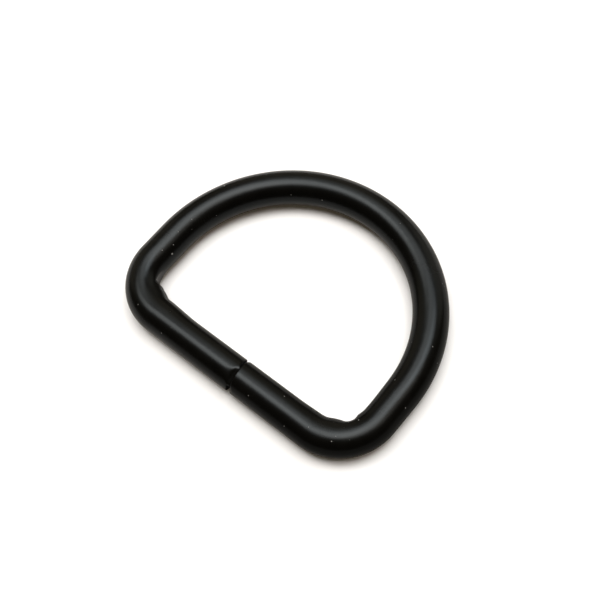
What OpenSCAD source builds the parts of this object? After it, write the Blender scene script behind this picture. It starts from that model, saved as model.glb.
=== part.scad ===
// D ring bent from one length of round steel wire, blackened, with its two ends butted in the bar.
// The ring lies flat on z = 0. X runs along the straight bar, Y from the bar to the crown, Z up.
// The origin is the middle of the ring's outline, on the surface that the ring lies on.
// Lengths are in millimetres and angles in degrees.

/* [Wire] */
// Diameter of the wire with its coating
wire_d = 3.5; // [2.6:0.1:5]

/* [Ring] */
// Clear width inside the ring just above its bar, which is the strap's width
inner_w = 25; // [18:0.5:40]
// Radius inside the bend at each end of the bar
bend_in_r = 2.85; // [1.6:0.05:5]
// Straight length of each leg, from its bend to the round crown
leg_len = 3.05; // [0.5:0.05:12]

/* [Butt joint] */
// Place of the joint along the bar, from the bar's middle towards +X
joint_x = 1; // [-3:0.1:3]
// Open gap between the two ends at the middle of the wire
joint_gap = 0.28; // [0.1:0.02:0.6]
// Lean of the left end's face: its top is nearer to +X
left_lean = 9.6; // [0:0.2:12]
// Lean of the right end's face, less than the left's, so that the gap opens downwards
right_lean = 7; // [0:0.2:12]
// Turn of both faces about Z: their outer side is nearer to +X
joint_skew = 5.6; // [0:0.2:10]

/* [Wire ends] */
// Length of the flat that the shear left on the left end
shear_len = 2; // [1:0.1:3]
// Depth of that flat at the tip
shear_d = 0.42; // [0.1:0.02:0.6]
// Side of the wire that the flat is on, turned from the inside of the bar over its top
shear_side = 150; // [90:5:210]
// Length over which the right end's edge is rounded
round_len = 0.55; // [0.3:0.05:1]
// Loss of radius at that rounded edge
round_d = 0.27; // [0.1:0.01:0.4]

/* [Bend marks] */
// Height of the ridge that bending pushed up inside the left bend
left_ridge_h = 0.26; // [0.05:0.01:0.4]
// Height of the same ridge inside the right bend
right_ridge_h = 0.14; // [0.05:0.01:0.4]
// Place of the ridge round the bend, from the bar
ridge_turn = 23; // [15:1:35]
// Depth of the crease beside each ridge
crease_d = 0.2; // [0.05:0.01:0.3]
// Radius of the crease's round bottom
crease_r = 0.5; // [0.3:0.05:1]
// Place of the crease round the bend, from the bar
crease_turn = 54; // [45:1:75]

/* [Hidden] */
// Segments in a full circle
$fn = 96;
COAT_COLOUR = "#25272a";
wire_r = wire_d / 2;
// Radius of the ridges' round backs, a little less than the wire's own
ridge_r = 0.85 * wire_r;
// Bends and crown are measured at the wire's centreline
bend_r = bend_in_r + wire_r;
crown_r = inner_w / 2 + wire_r;
// Half the straight bar, between the bends
bar_half = inner_w / 2 - bend_in_r;
// Heights of the leg's head and of the crown's top above the bar's centreline
leg_head_y = bend_r + leg_len;
crown_top_y = leg_head_y + crown_r;
left_face_x = joint_x - joint_gap / 2;
right_face_x = joint_x + joint_gap / 2;
// The rounded edge is part of a ball centred on the wire, this far behind the end's face
ball_back = (pow(round_len, 2) + pow(wire_r, 2) - pow(wire_r - round_d, 2)) / (2 * round_len);
ball_r = norm([wire_r - round_d, ball_back]);
// Extra length by which a cutting block passes the wire on every side
spare = 2 * wire_d;

// A straight length of wire along X, from one place on the bar's line to another
module straight_wire(from, to) {
    translate([from, 0, 0])
        rotate([0, 90, 0])
            cylinder(h = to - from, r = wire_r);
}

// An arc of wire in the ring's plane, about the origin
module curved_wire(radius, from, sweep) {
    rotate([0, 0, from])
        rotate_extrude(angle = sweep)
            translate([radius, 0])
                circle(r = wire_r);
}

// All the space on one side of an end's face: way is 1 for the +X side and -1 for the other
module beyond_face(x, lean, way) {
    translate([x, 0, 0])
        rotate([0, lean, joint_skew])
            translate([way * spare / 2, 0, 0])
                cube(spare, center = true);
}

// The sheared flat: a plane that starts on the wire's surface and sinks towards the tip
module beyond_shear_flat() {
    translate([left_face_x - shear_len, 0, 0])
        rotate([shear_side, 0, 0])
            translate([0, wire_r, 0])
                rotate([0, 0, -atan(shear_d / shear_len)])
                    translate([0, 0, -spare / 2])
                        cube([spare, spare, spare]);
}

// The left half of the bar, with its sheared end
module left_bar() {
    difference() {
        straight_wire(-bar_half, joint_x + wire_r);
        beyond_face(left_face_x, left_lean, 1);
        beyond_shear_flat();
    }
}

// The right half of the bar, whose end is rounded off by a ball
module right_bar() {
    difference() {
        intersection() {
            straight_wire(joint_x - wire_r, bar_half);
            union() {
                translate([right_face_x + ball_back, 0, 0])
                    sphere(r = ball_r);
                translate([right_face_x + ball_back, -wire_d, -wire_d])
                    cube([inner_w, spare, spare]);
            }
        }
        beyond_face(right_face_x, right_lean, -1);
    }
}

// The bend at the right end of the bar, with the ridge and the crease that bending left inside it
module bend(ridge_h) {
    translate([bar_half, bend_r, 0])
        difference() {
            union() {
                curved_wire(bend_r, -90, 90);
                rotate([0, 0, ridge_turn - 90])
                    translate([bend_in_r - ridge_h + ridge_r, 0, 0])
                        sphere(r = ridge_r);
            }
            rotate([0, 0, crease_turn - 90])
                translate([bend_in_r + crease_d - crease_r, 0, -wire_r])
                    cylinder(h = wire_d, r = crease_r);
        }
}

// The right leg, between its bend and the crown
module leg() {
    translate([crown_r, bend_r, 0])
        rotate([0, 0, 90])
            straight_wire(0, leg_len);
}

// The round top, from the right leg over to the left one
module crown() {
    translate([0, leg_head_y, 0])
        curved_wire(crown_r, 0, 180);
}

module ring() {
    color(COAT_COLOUR)
        translate([0, -crown_top_y / 2, wire_r])
            union() {
                left_bar();
                right_bar();
                bend(right_ridge_h);
                leg();
                mirror([1, 0, 0]) {
                    bend(left_ridge_h);
                    leg();
                }
                crown();
            }
}

ring();
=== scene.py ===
# %% [markdown]
# # A D ring bent from one wire
# A D ring holds a strap on its straight bar and takes a hook under its round crown. This one is a single
# length of round steel wire, bent into a D and finished in a satin black coating. Its two cut ends meet in
# the bar and aren't welded. The imported model gives the ring's place and its overall sizes, so the script
# loads that first and keeps the box that it fills.

# %% Load the imported model
import math

import bmesh
import bpy
from mathutils import Matrix, Vector


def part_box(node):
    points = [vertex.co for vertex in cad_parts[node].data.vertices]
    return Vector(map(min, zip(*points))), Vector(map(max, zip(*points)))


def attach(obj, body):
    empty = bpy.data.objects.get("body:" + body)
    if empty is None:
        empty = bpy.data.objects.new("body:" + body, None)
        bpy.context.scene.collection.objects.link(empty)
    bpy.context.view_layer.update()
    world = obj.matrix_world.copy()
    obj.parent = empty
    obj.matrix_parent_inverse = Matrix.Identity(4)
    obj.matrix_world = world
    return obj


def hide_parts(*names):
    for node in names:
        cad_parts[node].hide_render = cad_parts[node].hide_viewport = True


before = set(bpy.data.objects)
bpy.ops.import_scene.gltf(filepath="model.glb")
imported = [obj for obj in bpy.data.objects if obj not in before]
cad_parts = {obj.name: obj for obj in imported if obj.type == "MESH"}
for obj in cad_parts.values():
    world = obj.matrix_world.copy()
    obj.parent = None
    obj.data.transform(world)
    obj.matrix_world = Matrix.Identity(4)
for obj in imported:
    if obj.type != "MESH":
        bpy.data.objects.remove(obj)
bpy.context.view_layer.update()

MM = 0.001

# %% [markdown]
# ## The sizes that the bends follow
# The ring lies flat. X runs along the bar, Y from the bar to the crown, Z up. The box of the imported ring
# gives the wire's thickness, since a flat ring is one wire high, and from it the radius of the crown. Only
# the radius inside the two bends has to be given. All other lengths follow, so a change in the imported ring
# is taken over here without an edit.

# %% Sizes of the ring
BEND_IN_R = 2.85 * MM

low, high = [Vector(corner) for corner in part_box("ring")]
wire_r = (high.z - low.z) / 2
bend_r = BEND_IN_R + wire_r
crown_r = (high.x - low.x) / 2 - wire_r
bar_half = crown_r - bend_r
bar_y = low.y + wire_r
bend_y = bar_y + bend_r
crown_y = high.y - wire_r - crown_r
wire_z = low.z + wire_r
print("wire", round(2 * wire_r / MM, 2), "mm, clear width", round(2 * (crown_r - wire_r) / MM, 2), "mm")

# %% [markdown]
# ## The camera
# The camera comes before the making.
# It looks down on the ring at 63 degrees, from beyond the right end of the bar, and it is turned 13 degrees
# about its own line of sight. An empty with a Track To constraint would also aim it. Two rotations written
# out are easier to check: one turns the camera's back to the given direction, the other adds the roll.

# %% Camera
VIEW_AZIMUTH = math.radians(51.4)
VIEW_ELEVATION = math.radians(62.58)
VIEW_ROLL = math.radians(-13)
VIEW_DISTANCE = 110.19 * MM
VIEW_TARGET = Vector((-0.215 * MM, -0.67 * MM, 0))
# Blender gives the lens and the sensor in millimetres, and everything else in metres
VIEW_LENS = 66.93
SENSOR_WIDTH = 36
NEAREST_SEEN, FARTHEST_SEEN = 5 * MM, 10

view_back = Vector((
    math.sin(VIEW_AZIMUTH) * math.cos(VIEW_ELEVATION),
    -math.cos(VIEW_AZIMUTH) * math.cos(VIEW_ELEVATION),
    math.sin(VIEW_ELEVATION),
))
camera = bpy.data.objects.new("view_camera", bpy.data.cameras.new("view_camera"))
bpy.context.collection.objects.link(camera)
bpy.context.scene.camera = camera
camera.data.lens = VIEW_LENS
camera.data.sensor_width = SENSOR_WIDTH
camera.data.clip_start = NEAREST_SEEN
camera.data.clip_end = FARTHEST_SEEN
aim = (-view_back).to_track_quat("-Z", "Y").to_matrix().to_4x4()
camera.matrix_world = (
    Matrix.Translation(VIEW_TARGET + view_back * VIEW_DISTANCE) @ aim @ Matrix.Rotation(VIEW_ROLL, 4, "Z")
)
print("camera in mm:", [round(c / MM, 1) for c in camera.location])

# %% [markdown]
# ## Where a point lies on the wire
# The marks that bending and cutting leave are easy to describe on the wire itself: so far along it from
# the middle of the bar, and so far round it from its inner side. This helper turns a point in space into
# that pair. It also gives the point's own centre on the wire's middle line and the direction that leads
# into the ring, so a mark can push the surface straight in or out.

# %% Place on the wire
bend_end = bar_half + bend_r * math.pi / 2
leg_end = bend_end + crown_y - bend_y
wire_half = leg_end + crown_r * math.pi / 2


def wire_place(point):
    """Distance along the wire, angle round it from the inner side, centre, and the way into the ring."""
    side = 1 if point.x >= 0 else -1
    x = abs(point.x)
    if point.y > crown_y:
        out = Vector((x, point.y - crown_y, 0)).normalized()
        along = leg_end + math.atan2(out.y, out.x) * crown_r
        centre = Vector((0, crown_y, wire_z)) + out * crown_r
    elif point.y > bend_y:
        out = Vector((1, 0, 0))
        along = bend_end + point.y - bend_y
        centre = Vector((crown_r, point.y, wire_z))
    elif x > bar_half:
        out = Vector((x - bar_half, point.y - bend_y, 0)).normalized()
        along = bar_half + math.atan2(out.x, -out.y) * bend_r
        centre = Vector((bar_half, bend_y, wire_z)) + out * bend_r
    else:
        out = Vector((0, -1, 0))
        along = x
        centre = Vector((x, bar_y, wire_z))
    mirrored = Vector((side, 1, 1))
    centre, inward = centre * mirrored, -out * mirrored
    offset = point - centre
    return side * along, math.atan2(offset.z, offset.dot(inward)), centre, inward


print("length of the wire in mm:", round(2 * wire_half / MM, 1))

# %% [markdown]
# ## The two cut ends
# The wire was cut with a shear, and the two ends don't look alike. Both edges are a little rounded by the
# coating. An end starts as a short stub: create_cone with two equal radii gives a cylinder with caps, bevel
# rounds the rim of the cap, and a few insets keep the cap flat next to the rounded rim. The cap at the back
# is removed, and the wire will grow from the open rim there. The cap that stays is marked in a vertex
# attribute, since the coat is thin and dull inside the narrow gap and the material has to know where that is.

# %% Stubs of wire
AROUND = 128
JOINT_X = 0.915 * MM
GAP = 0.355 * MM
STUB_LEN = 0.12 * MM
LEFT_EDGE_R = 0.03 * MM
RIGHT_EDGE_R = 0.06 * MM
EDGE_STEPS = 4
CAP_INSETS = (0.04 * MM, 0.4 * MM, 0.5 * MM)
# Two points closer than this are at the same place along the wire
SAME_PLACE = 0.01 * MM


def wire_stub(bm, tip_x, side, edge_r):
    """A stub whose tip is at tip_x and which runs towards side; returns the edges of its open rim."""
    before = set(bm.faces)
    middle = Vector((tip_x + side * STUB_LEN / 2, bar_y, wire_z))
    bmesh.ops.create_cone(
        bm, cap_ends=True, cap_tris=False, segments=AROUND, radius1=wire_r, radius2=wire_r,
        depth=STUB_LEN, matrix=Matrix.Translation(middle) @ Matrix.Rotation(math.pi / 2, 4, "Y"),
    )
    caps = [f for f in bm.faces if f not in before and len(f.verts) == AROUND]
    tip, back = sorted(caps, key=lambda f: side * f.calc_center_median().x)
    bmesh.ops.delete(bm, geom=[back], context="FACES_ONLY")
    bmesh.ops.bevel(
        bm, geom=list(tip.edges), affect="EDGES", offset=edge_r, offset_type="OFFSET",
        segments=EDGE_STEPS, profile=0.5, material=-1,
    )
    tip = max((f for f in bm.faces if f not in before), key=lambda f: len(f.verts))
    for thickness in CAP_INSETS:
        bmesh.ops.inset_region(bm, faces=[tip], thickness=thickness, use_even_offset=True)
        for v in tip.verts:
            v[bm.verts.layers.float["in_gap"]] = 1
    for v in bmesh.ops.poke(bm, faces=[tip])["verts"]:
        v[bm.verts.layers.float["in_gap"]] = 1
    rim_x = tip_x + side * STUB_LEN
    return [
        e for e in bm.edges
        if e.is_boundary and all(abs(v.co.x - rim_x) < SAME_PLACE for v in e.verts)
    ]


wire = bmesh.new()
wire.verts.layers.float.new("in_gap")
left_rim = wire_stub(wire, JOINT_X - GAP / 2, -1, LEFT_EDGE_R)
right_rim = wire_stub(wire, JOINT_X + GAP / 2, 1, RIGHT_EDGE_R)
print("open rims of", len(left_rim), "and", len(right_rim), "edges")

# %% [markdown]
# ## Bending the wire
# A curve with a round bevel would give the same tube. The spin operator is closer to how the ring is made,
# and it leaves even quads: it extrudes the open rim step by step, straight on when the angle is zero and
# round a centre when it isn't. Each half grows from its own stub, along the bar, round the bend, up the leg
# and over to the top of the crown, where the two rims fall together and are merged. Steps are short where
# marks will follow, next to the joint and in the bends, and longer elsewhere.

# %% Grow both halves
FINE_STEP = 0.07 * MM
PLAIN_STEP = 0.3 * MM
NEAR_JOINT = 2.4 * MM
# Points closer than this are merged
SEAM_GAP = 0.002 * MM


def spun(bm, rim, step, length, way=(0, 0, 0), centre=(0, 0, 0), angle=0):
    """Grows the open rim by that length, in steps of about the given one; returns the new rim."""
    steps = max(1, round(length / step))
    made = bmesh.ops.spin(
        bm, geom=rim, cent=centre, axis=(0, 0, 1), dvec=Vector(way) * (length / steps), angle=angle,
        steps=steps, use_merge=False, use_duplicate=False,
    )
    return [e for e in made["geom_last"] if isinstance(e, bmesh.types.BMEdge)]


def straight(bm, rim, step, length, way):
    """A straight stretch of wire; returns its rim."""
    return spun(bm, rim, step, length, way=way)


def round_turn(bm, rim, step, centre, radius, angle):
    """A round stretch of wire, turned about a centre; returns its rim."""
    return spun(bm, rim, step, radius * abs(angle), centre=centre, angle=angle)


def grow_half(bm, rim, tip_x, side):
    """From a stub's rim to the top of the crown."""
    bar_len = bar_half - side * tip_x - STUB_LEN
    quarter = side * math.pi / 2
    rim = straight(bm, rim, FINE_STEP, NEAR_JOINT, (side, 0, 0))
    rim = straight(bm, rim, PLAIN_STEP, bar_len - NEAR_JOINT, (side, 0, 0))
    rim = round_turn(bm, rim, FINE_STEP, (side * bar_half, bend_y, 0), bend_r, quarter)
    rim = straight(bm, rim, PLAIN_STEP, crown_y - bend_y, (0, 1, 0))
    return round_turn(bm, rim, PLAIN_STEP, (0, crown_y, 0), crown_r, quarter)


grow_half(wire, left_rim, JOINT_X - GAP / 2, -1)
grow_half(wire, right_rim, JOINT_X + GAP / 2, 1)
bmesh.ops.remove_doubles(wire, verts=wire.verts, dist=SEAM_GAP)
bmesh.ops.recalc_face_normals(wire, faces=wire.faces)
print("wire:", len(wire.verts), "vertices, open edges:", sum(e.is_boundary for e in wire.edges))

# %% [markdown]
# ## Marks of the shear
# A shear pushes the wire over before it parts. It rolled the left end's edge over, on the side that faces up
# and away from the ring, and rounded the right end's edge in two places. Each mark is a slope that sinks
# faster and faster towards the tip. bisect_plane would cut it sharp. The real one has soft shoulders under
# its coat, so the vertices that stand above the slope are moved down to it, blended with a smooth minimum.
# Both cut faces also lean and turn a few degrees, which is a small shear of the last stretch along X.

# %% Shape the ends
# Each row: side, angle round the wire, depth at the tip, length in which it fades, softness of the shoulder
SHEAR_MARKS = (
    (-1, 112, 0.28 * MM, 0.42 * MM, 0.11 * MM),
    (1, 20, 0.14 * MM, 0.13 * MM, 0.05 * MM),
    (1, 168, 0.16 * MM, 0.3 * MM, 0.08 * MM),
)
# Lean and turn of the left and the right face, in degrees, and the length of wire that takes them up
FACE_TILTS = {-1: (10.5, 4.0), 1: (7.0, 6.2)}
LEAN_LEN = 2.4 * MM


def smooth_min(a, b, soft):
    """The lower of two heights, rounded off where they are within the given distance of each other."""
    share = min(max(0.5 + 0.5 * (b - a) / soft, 0), 1)
    return a * share + b * (1 - share) - soft * share * (1 - share)


def end_vertices(bm, side, length):
    """The vertices within that length of a tip, each with its distance behind the tip."""
    # The small allowance takes in the tip itself. The other end lies a whole gap away.
    tip_x = JOINT_X + side * GAP / 2
    near = [(v, side * (v.co.x - tip_x)) for v in bm.verts if v.co.y < bend_y]
    return [(v, max(back, 0)) for v, back in near if -GAP / 4 < back < length]


def press_slope(bm, side, angle, depth, fade, soft):
    """One mark of the shear: the wire is moved down to a slope that sinks towards the tip."""
    facing = Vector((0, math.cos(math.radians(angle)), math.sin(math.radians(angle))))
    middle = Vector((0, bar_y, wire_z))
    for v, back in end_vertices(bm, side, LEAN_LEN):
        height = (v.co - middle).dot(facing)
        level = wire_r + soft - (depth + soft) * math.exp(-back / fade)
        v.co += facing * (smooth_min(height, level, soft) - height)


def lean_face(bm, side, lean, turn):
    """Shears the last stretch along X, most at the tip and not at all at its far end."""
    for v, back in end_vertices(bm, side, LEAN_LEN):
        y, z = v.co.y - bar_y, v.co.z - wire_z
        share = (1 - back / LEAN_LEN) ** 2
        v.co.x += share * (z * math.tan(math.radians(lean)) - y * math.tan(math.radians(turn)))


for mark in SHEAR_MARKS:
    press_slope(wire, *mark)
for side, (lean, turn) in FACE_TILTS.items():
    lean_face(wire, side, lean, turn)
print("shear marks:", len(SHEAR_MARKS))

# %% [markdown]
# ## Marks of bending
# Inside a tight bend the steel is squeezed. It rises in a ridge that cuts the corner, more on the left bend
# than on the right. Each ridge is a few smooth humps and hollows, so far along the bend and so far round the
# wire. Adding them up gives the uneven look of the real corner, which a regular modifier wouldn't.

# %% Press in the ridges
# Each row: side, degrees round the bend, half length in degrees, angle round the wire, half width, height
BEND_MARKS = (
    (-1, 2, 50, 0, 80, 0.19 * MM),
    (-1, 25, 24, 0, 70, 0.22 * MM),
    (-1, 38, 9, 5, 40, 0.09 * MM),
    (1, 10, 40, 0, 80, 0.09 * MM),
    (1, 29, 16, 0, 70, 0.1 * MM),
    (1, 57, 18, 5, 55, -0.36 * MM),
    (1, 100, 34, 5, 60, -0.08 * MM),
)
# The marks lie within these degrees round a bend
BEND_REACH = (-50, 140)


def hump(distance, half_width):
    """1 at the middle, falling smoothly to 0 at the half width."""
    share = distance / half_width
    return (1 - share * share) ** 2 if abs(share) < 1 else 0


def bend_vertices(bm, side):
    """The vertices near one bend: degrees round it from the bar, angle round the wire, centre, way in."""
    for v in bm.verts:
        along, around, centre, inward = wire_place(v.co)
        turn = math.degrees((abs(along) - bar_half) / bend_r)
        if side * along > 0 and BEND_REACH[0] < turn < BEND_REACH[1]:
            yield v, turn, around, centre, inward


def mark_bends(bm, marks):
    """Moves the surface in or out by every hump and hollow of the rows."""
    for side in (-1, 1):
        for v, turn, around, centre, inward in bend_vertices(bm, side):
            radial = inward * math.cos(around) + Vector((0, 0, math.sin(around)))
            for mark_side, at, half_length, at_angle, half_width, height in marks:
                if mark_side == side:
                    share = hump(turn - at, half_length)
                    v.co += radial * height * share * hump(math.degrees(around) - at_angle, half_width)


mark_bends(wire, BEND_MARKS)
print("humps and hollows:", len(BEND_MARKS))

# %% [markdown]
# ## The pinch in the left bend
# Beyond its ridge the left bend is pinched. The ridge ends in a step, and behind it a flat face with a crisp
# upper edge runs out towards the leg. A hollow with a smooth rim would look like a thumbprint, so this is a
# flat facet again, pressed in with the smooth minimum: deepest just behind the step and shallower with every
# degree. The step runs slantwise over the wire, so it starts later on the upper side. Last come the folds in
# the skin of the steel, narrow grooves along the foot of each ridge.

# %% Press in the pinch
# Degrees round the bend: where the pinch starts, how long its step is, where it ends
PINCH_START, PINCH_STEP, PINCH_END = 41.7, 2.6, 82.0
# The step starts this much later with each degree round the wire
PINCH_SLANT = 0.2
PINCH_ANGLE = math.radians(-6)
PINCH_DEPTH = 0.4 * MM
PINCH_SOFT = 0.05 * MM
PINCH_FALL = 0.7
# Ahead of the step the facet lies this far above the plain wire, so it leaves the ridge alone
RIDGE_TOP = 0.4 * MM
# The same rows as for the ridges
FOLDS = (
    (-1, 19, 22, 15, 5, -0.05 * MM),
    (-1, -6, 14, 26, 5, -0.04 * MM),
    (1, 34, 12, 30, 6, -0.05 * MM),
)


def press_pinch(bm, side):
    """Presses the facet behind the step into one bend."""
    for v, turn, around, centre, inward in bend_vertices(bm, side):
        start = PINCH_START + PINCH_SLANT * math.degrees(around)
        rise = min(max((turn - start) / PINCH_STEP, 0), 1)
        # The step starts and ends softly
        rise = rise * rise * (3 - 2 * rise)
        fall = min(max((PINCH_END - turn) / (PINCH_END - PINCH_START), 0), 1) ** PINCH_FALL
        level = wire_r + (1 - fall) * PINCH_SOFT - fall * PINCH_DEPTH
        level += (1 - rise) * (wire_r + RIDGE_TOP - level)
        facing = inward * math.cos(PINCH_ANGLE) + Vector((0, 0, math.sin(PINCH_ANGLE)))
        height = (v.co - centre).dot(facing)
        v.co += facing * (smooth_min(height, level, PINCH_SOFT) - height)


press_pinch(wire, -1)
mark_bends(wire, FOLDS)
print("pinch:", round(PINCH_DEPTH / MM, 2), "mm deep")

# %% [markdown]
# ## The finished ring as an object
# Where a mark pressed a few points onto each other, the slivers between them are dissolved. The mesh holds
# the ring at its real place, so the object stays at the origin, unturned and unscaled. It stands for the
# packed ring and rides on the only body that there is. The record's black finish is added further on.

# %% Make the ring object
bmesh.ops.dissolve_degenerate(wire, dist=SEAM_GAP, edges=wire.edges)
ring_mesh = bpy.data.meshes.new("wire_ring")
wire.to_mesh(ring_mesh)
wire.free()
ring_mesh.shade_smooth()
ring = bpy.data.objects.new("wire_ring", ring_mesh)
bpy.context.collection.objects.link(ring)
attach(ring, "root")
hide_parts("ring")
print("ring:", sum(len(p.vertices) - 2 for p in ring_mesh.polygons), "triangles")

# %% [markdown]
# ## Helpers for the materials
# The coat and the floor both get node materials. In the editor each node is added and wired by hand. In a
# script that takes three or four lines a node, so the kinds of node that come back get a small function
# each: a noise of a given size, a value moved from one range to another, the larger of two values, two
# colours mixed by a mask, and a bump.

# %% Material helpers
def noise_at(nodes, links, coords, size, detail, rough=0.5):
    """A noise whose features are about the given size."""
    noise = nodes.new("ShaderNodeTexNoise")
    noise.inputs["Scale"].default_value = 1 / size
    noise.inputs["Detail"].default_value = detail
    noise.inputs["Roughness"].default_value = rough
    links.new(coords, noise.inputs["Vector"])
    return noise.outputs["Fac"]


def ranged(nodes, links, value, source, target):
    """A value moved from one range to another."""
    node = nodes.new("ShaderNodeMapRange")
    links.new(value, node.inputs["Value"])
    for name, number in zip(("From Min", "From Max", "To Min", "To Max"), source + target):
        node.inputs[name].default_value = number
    return node.outputs["Result"]


def larger(nodes, links, a, b):
    """The larger of two values."""
    node = nodes.new("ShaderNodeMath")
    node.operation = "MAXIMUM"
    links.new(a, node.inputs[0])
    links.new(b, node.inputs[1])
    return node.outputs["Value"]


def mixed(nodes, links, factor, a, b):
    """Two colours mixed by a linked factor; a colour is a constant or a socket."""
    node = nodes.new("ShaderNodeMix")
    node.data_type = "RGBA"
    links.new(factor, node.inputs["Factor"])
    for name, colour in (("A", a), ("B", b)):
        if isinstance(colour, tuple):
            node.inputs[name].default_value = colour
        else:
            links.new(colour, node.inputs[name])
    return node.outputs["Result"]


def bumped(nodes, links, height, distance, normal=None):
    """A Bump node of that height, on top of another bump where one is given."""
    node = nodes.new("ShaderNodeBump")
    node.inputs["Distance"].default_value = distance
    links.new(height, node.inputs["Height"])
    if normal:
        links.new(normal, node.inputs["Normal"])
    return node.outputs["Normal"]


print("material helpers ready")

# %% [markdown]
# ## Specks in the coat
# Dust settled in the coat while it was wet, and a few specks were picked up later. The clearest ones are
# placed where the photograph shows them, given as distance along the wire and angle round it. Most are
# about as small as one face of the mesh, so they are made in the material: a small node group turns the
# distance from a centre into a mask, and it is used once for every speck.

# %% Speck mask
# Each row: distance along the wire in mm, degrees round it, radius in mm
SPECKS = (
    (-18, 29, 0.12),
    (-17.5, 62, 0.05),
    (-18.7, 48, 0.05),
    (-20, 66, 0.05),
    (-22, 66, 0.055),
    (-26.7, 118, 0.09),
    (-33.4, 32, 0.055),
    (-37, 26, 0.065),
    (-11, 119, 0.055),
    (-7.5, 142, 0.05),
    (3.5, 132, 0.05),
    (6.3, 64, 0.05),
    (8, 142, 0.055),
    (10, 98, 0.05),
    (12.2, 116, 0.065),
    (12.5, 100, 0.04),
    (15, 62, 0.055),
    (19, 142, 0.065),
    (20.5, 58, 0.05),
    (24, 156, 0.05),
    (25, 116, 0.05),
)
# A speck is fully grey up to this share of its radius
SPECK_CORE = 0.4


def wire_point(along, around):
    """The point on the wire's surface at that distance from the middle of the bar and angle round it."""
    side, rest = (1 if along >= 0 else -1), abs(along)
    if rest > leg_end:
        turn = (rest - leg_end) / crown_r
        out, middle = Vector((math.cos(turn), math.sin(turn), 0)), Vector((0, crown_y, wire_z))
        centre = middle + out * crown_r
    elif rest > bend_end:
        out, centre = Vector((1, 0, 0)), Vector((crown_r, bend_y + rest - bend_end, wire_z))
    elif rest > bar_half:
        turn = (rest - bar_half) / bend_r
        out = Vector((math.sin(turn), -math.cos(turn), 0))
        centre = Vector((bar_half, bend_y, wire_z)) + out * bend_r
    else:
        out, centre = Vector((0, -1, 0)), Vector((rest, bar_y, wire_z))
    point = centre - out * wire_r * math.cos(around) + Vector((0, 0, wire_r * math.sin(around)))
    return Vector((side * point.x, point.y, point.z))


def speck_group():
    """Node group: 1 at the centre, 0 beyond the radius."""
    group = bpy.data.node_groups.new("speck", "ShaderNodeTree")
    for name, kind in (("Place", "Vector"), ("Centre", "Vector"), ("Radius", "Float")):
        group.interface.new_socket(name, in_out="INPUT", socket_type="NodeSocket" + kind)
    group.interface.new_socket("Mask", in_out="OUTPUT", socket_type="NodeSocketFloat")
    nodes, links = group.nodes, group.links
    given, result = nodes.new("NodeGroupInput"), nodes.new("NodeGroupOutput")
    apart = nodes.new("ShaderNodeVectorMath")
    apart.operation = "DISTANCE"
    links.new(given.outputs["Place"], apart.inputs[0])
    links.new(given.outputs["Centre"], apart.inputs[1])
    share = nodes.new("ShaderNodeMath")
    share.operation = "DIVIDE"
    links.new(apart.outputs["Value"], share.inputs[0])
    links.new(given.outputs["Radius"], share.inputs[1])
    mask = nodes.new("ShaderNodeMapRange")
    mask.inputs["From Min"].default_value = 1
    mask.inputs["From Max"].default_value = SPECK_CORE
    links.new(share.outputs["Value"], mask.inputs["Value"])
    links.new(mask.outputs["Result"], result.inputs["Mask"])
    return group


speck = speck_group()
print("specks to place:", len(SPECKS))

# %% [markdown]
# ## All the dust in one mask
# Between the placed specks lies finer dust. Scattering it by hand would take hundreds of rows, so a Voronoi
# texture does it: its cells lie all through space, and only the centres that happen to lie in the surface
# show. All the specks are shifted by a fine noise, which keeps them from being clean discs. The noise is 0.5
# on average, so the placed centres are moved by half its strength to stay where they belong.

# %% Dust mask
# The finest dust: its spacing, its radius, the strength of the noise and how grey it is at most
DUST_CELL = 1.2 * MM
DUST_R = 0.05 * MM
DUST_WARP = 0.09 * MM
DUST_STRENGTH = 0.4


def dust_mask(nodes, links, coords):
    """1 in the middle of the placed specks, up to DUST_STRENGTH in the finest dust, 0 elsewhere."""
    noise = nodes.new("ShaderNodeTexNoise")
    noise.inputs["Scale"].default_value = 1 / DUST_WARP
    links.new(coords, noise.inputs["Vector"])
    warp = nodes.new("ShaderNodeVectorMath")
    warp.operation = "MULTIPLY_ADD"
    warp.inputs[1].default_value = (DUST_WARP, DUST_WARP, DUST_WARP)
    links.new(noise.outputs["Color"], warp.inputs[0])
    links.new(coords, warp.inputs[2])
    coords = warp.outputs["Vector"]
    cells = nodes.new("ShaderNodeTexVoronoi")
    cells.inputs["Scale"].default_value = 1 / DUST_CELL
    links.new(coords, cells.inputs["Vector"])
    size = DUST_R / DUST_CELL
    dust = ranged(nodes, links, cells.outputs["Distance"], (size, size / 2), (0.0, DUST_STRENGTH))
    middle = Vector((DUST_WARP, DUST_WARP, DUST_WARP)) / 2
    for along, around, radius in SPECKS:
        spot = nodes.new("ShaderNodeGroup")
        spot.node_tree = speck
        spot.inputs["Centre"].default_value = wire_point(along * MM, math.radians(around)) + middle
        spot.inputs["Radius"].default_value = radius * MM
        links.new(coords, spot.inputs["Place"])
        dust = larger(nodes, links, dust, spot.outputs["Mask"])
    return dust


print("finest dust about", round(DUST_CELL / MM, 1), "mm apart")

# %% [markdown]
# ## The black coat
# The coat is a thin satin film, almost without colour, so nearly everything seen on it is reflection. Its
# look comes from the roughness, which varies a little in wide patches, and from two very fine bumps: the
# orange peel of the coat and a grain on it, which break up the edge of a reflection. A plain grey shader
# would look like plastic. The reflections are a touch blue, as they are in the photograph. Where dust sits
# the film is grey and dull. In the gap between the ends it is dull too, and black.

# %% Coat material
COAT_DARK = (0.0014, 0.0013, 0.0009, 1)
COAT_LIGHT = (0.0033, 0.003, 0.0024, 1)
COAT_DUST = (0.26, 0.26, 0.25, 1)
COAT_ROUGHNESS = (0.245, 0.275)
COAT_SPECULAR = 0.215
COAT_TINT = (0.83, 0.93, 1.0, 1)
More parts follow.
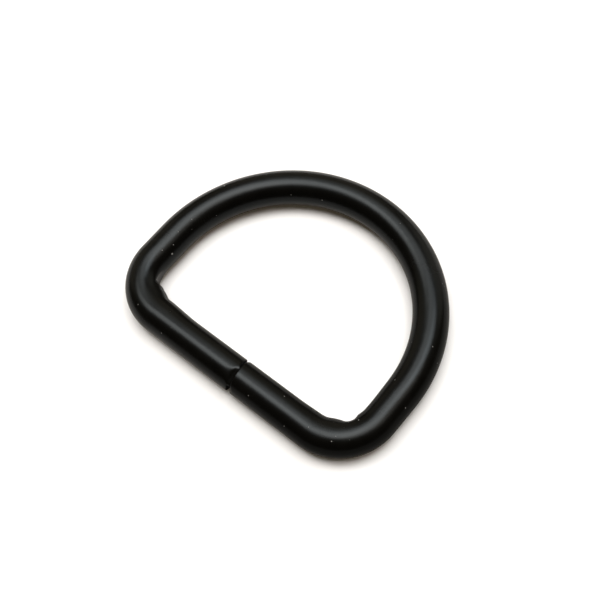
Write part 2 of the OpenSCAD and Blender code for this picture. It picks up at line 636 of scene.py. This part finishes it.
# Size and height of the orange peel and of the grain on it, and size of the duller patches
PEEL_SIZE, PEEL_HEIGHT = 0.55 * MM, 0.006 * MM
GRAIN_SIZE, GRAIN_HEIGHT = 0.09 * MM, 0.0015 * MM
PATCH_SIZE = 2.2 * MM
# Most of a noise lies between these values
NOISE_REACH = (0.3, 0.7)


def black_coat():
    """The finish of the whole ring."""
    material = bpy.data.materials.new("black_coat")
    material.use_nodes = True
    nodes, links = material.node_tree.nodes, material.node_tree.links
    shader = nodes["Principled BSDF"]
    shader.inputs["Specular IOR Level"].default_value = COAT_SPECULAR
    shader.inputs["Specular Tint"].default_value = COAT_TINT
    coords = nodes.new("ShaderNodeTexCoord").outputs["Object"]
    in_gap = nodes.new("ShaderNodeAttribute")
    in_gap.attribute_name = "in_gap"
    patches = noise_at(nodes, links, coords, PATCH_SIZE, detail=3, rough=0.6)
    dust = dust_mask(nodes, links, coords)

    tone = mixed(nodes, links, patches, COAT_DARK, COAT_LIGHT)
    links.new(mixed(nodes, links, dust, tone, COAT_DUST), shader.inputs["Base Color"])
    satin = ranged(nodes, links, patches, NOISE_REACH, COAT_ROUGHNESS)
    dull = larger(nodes, links, in_gap.outputs["Fac"], dust)
    links.new(larger(nodes, links, satin, dull), shader.inputs["Roughness"])

    grains = noise_at(nodes, links, coords, GRAIN_SIZE, detail=2, rough=0.6)
    dimples = noise_at(nodes, links, coords, PEEL_SIZE, detail=3)
    grain = bumped(nodes, links, grains, GRAIN_HEIGHT)
    peel = bumped(nodes, links, dimples, PEEL_HEIGHT, grain)
    links.new(peel, shader.inputs["Normal"])
    return material


ring.data.materials.append(black_coat())
print("coat material on", ring.name)

# %% [markdown]
# ## The floor
# The ring lies on a plain floor that is lit until it is pure white. A grid of one face is enough. It is just
# so wide that the softboxes light it evenly up to its edge, and the backdrop beyond is as white, so that the
# low views show no horizon. Its paint is matte, without any gloss. The camera sees the full white. The ring
# must see less of it: its reflections show a white that was dimmer at the front, under the camera. So the
# light that the floor sends to the ring falls off from the back left to the front right, and the Light Path
# node tells the two kinds of ray apart. A faint warm glow stands for the light that spreads inside a white
# sheet and softens the deepest shadow.

# %% Floor
FLOOR_SIZE = 0.9
FLOOR_SEEN = (0.835, 0.86, 0.895, 1)
FLOOR_DIM = (0.15, 0.15, 0.15, 1)
FLOOR_LIT = (0.8, 0.8, 0.8, 1)
# What the floor sends to the ring rises from dim to lit along this way, between these distances
FALLOFF_WAY = (-0.84, 0.54, 0)
FALLOFF_ENDS = (-18 * MM, 30 * MM)
FLOOR_GLOW = (0.039, 0.031, 0.021, 1)

floor_bm = bmesh.new()
bmesh.ops.create_grid(floor_bm, x_segments=1, y_segments=1, size=FLOOR_SIZE / 2)
floor_mesh = bpy.data.meshes.new("floor")
floor_bm.to_mesh(floor_mesh)
floor_bm.free()
floor = bpy.data.objects.new("floor", floor_mesh)
bpy.context.collection.objects.link(floor)
floor_paint = bpy.data.materials.new("floor_white")
floor_paint.use_nodes = True
floor_nodes, floor_links = floor_paint.node_tree.nodes, floor_paint.node_tree.links
floor_shader = floor_nodes["Principled BSDF"]
floor_shader.inputs["Roughness"].default_value = 1
floor_shader.inputs["Specular IOR Level"].default_value = 0
floor_shader.inputs["Emission Color"].default_value = FLOOR_GLOW
floor_shader.inputs["Emission Strength"].default_value = 1
across = floor_nodes.new("ShaderNodeVectorMath")
across.operation = "DOT_PRODUCT"
across.inputs[1].default_value = FALLOFF_WAY
floor_links.new(floor_nodes.new("ShaderNodeTexCoord").outputs["Object"], across.inputs[0])
falloff = ranged(floor_nodes, floor_links, across.outputs["Value"], FALLOFF_ENDS, (0.0, 1.0))
to_ring = mixed(floor_nodes, floor_links, falloff, FLOOR_DIM, FLOOR_LIT)
by_camera = floor_nodes.new("ShaderNodeLightPath").outputs["Is Camera Ray"]
white = mixed(floor_nodes, floor_links, by_camera, to_ring, FLOOR_SEEN)
floor_links.new(white, floor_shader.inputs["Base Color"])
floor.data.materials.append(floor_paint)
print("floor:", FLOOR_SIZE, "m wide")

# %% [markdown]
# ## The light
# A black satin wire shows little but its surroundings, so the lamps are what gives it its look. The bright
# band along the top of the wire is three large round softboxes nearly overhead, which overlap so that no
# gap between them shows as a line. Four smaller ones lower down, from the right round the back to the left,
# widen the band, and three faint ones near the horizon lift the flank that faces away. On the camera's side
# there is nothing, and the wire is black there. Each row gives a softbox by its angle from straight up, its
# heading seen from the ring, its apparent radius and its brightness, because those are what can be read off
# the highlights. The lamp's size and power follow.

# %% Softboxes
# In metres: so far off, the softboxes light the whole ring alike
LAMP_DISTANCE = 2.5
# Each row: name, degrees from straight up, heading from +X, apparent radius in degrees, radiance, colour
SOFTBOXES = (
    ("overhead", 12, 110, 22, 2.6, (1.00, 0.98, 0.95)),
    ("overhead_right", 8, 20, 18, 3.3, (1.00, 0.91, 0.82)),
    ("overhead_left", 10, 190, 18, 3.19, (1.00, 0.95, 0.89)),
    ("right", 32, 30, 12, 1.54, (1.00, 0.84, 0.69)),
    ("back_right", 28, 70, 12, 4.4, (0.99, 1.00, 0.99)),
    ("left", 28, 190, 12, 4.53, (1.00, 0.95, 0.88)),
    ("back", 38, 125, 12, 1.13, (1.00, 0.96, 0.87)),
    ("low_right", 65, 80, 20, 0.62, (1.00, 0.93, 0.78)),
    ("low_back", 65, 130, 20, 0.39, (1.00, 0.86, 0.64)),
    ("low_left", 65, 180, 20, 0.41, (1.00, 0.86, 0.64)),
)


def softbox(name, polar, heading, radius, radiance, colour):
    """A round area light of that apparent size and brightness, facing the ring from that direction."""
    polar, heading = math.radians(polar), math.radians(heading)
    way = Vector((
        math.sin(polar) * math.cos(heading),
        math.sin(polar) * math.sin(heading),
        math.cos(polar),
    ))
    lamp_r = LAMP_DISTANCE * math.tan(math.radians(radius))
    light = bpy.data.lights.new(name, "AREA")
    light.shape = "DISK"
    light.size = 2 * lamp_r
    # An evenly glowing disk sends out pi times its radiance from each square metre
    light.energy = radiance * math.pi * math.pi * lamp_r ** 2
    light.color = colour
    lamp = bpy.data.objects.new(name, light)
    bpy.context.collection.objects.link(lamp)
    lamp.location = way * LAMP_DISTANCE
    lamp.rotation_euler = way.to_track_quat("Z", "Y").to_euler()
    lamp.visible_camera = False
    return lamp


for row in SOFTBOXES:
    softbox(*row)
print("softboxes:", len(SOFTBOXES))

# %% [markdown]
# ## The room
# The room is dark, so that the softboxes alone light the ring. Only where the camera looks past the floor's
# edge, in a low view, it sees a white backdrop. The Light Path node tells such rays from those that light
# the ring. The Standard view transform shows the colours as they are.

# %% Room
BACKDROP = (1.0, 1.0, 1.0, 1)

room = bpy.data.worlds.new("studio")
bpy.context.scene.world = room
room.use_nodes = True
backdrop = room.node_tree.nodes["Background"]
backdrop.inputs["Color"].default_value = BACKDROP
seen = room.node_tree.nodes.new("ShaderNodeLightPath")
room.node_tree.links.new(seen.outputs["Is Camera Ray"], backdrop.inputs["Strength"])
bpy.context.scene.view_settings.view_transform = "Standard"
print("room:", room.name)
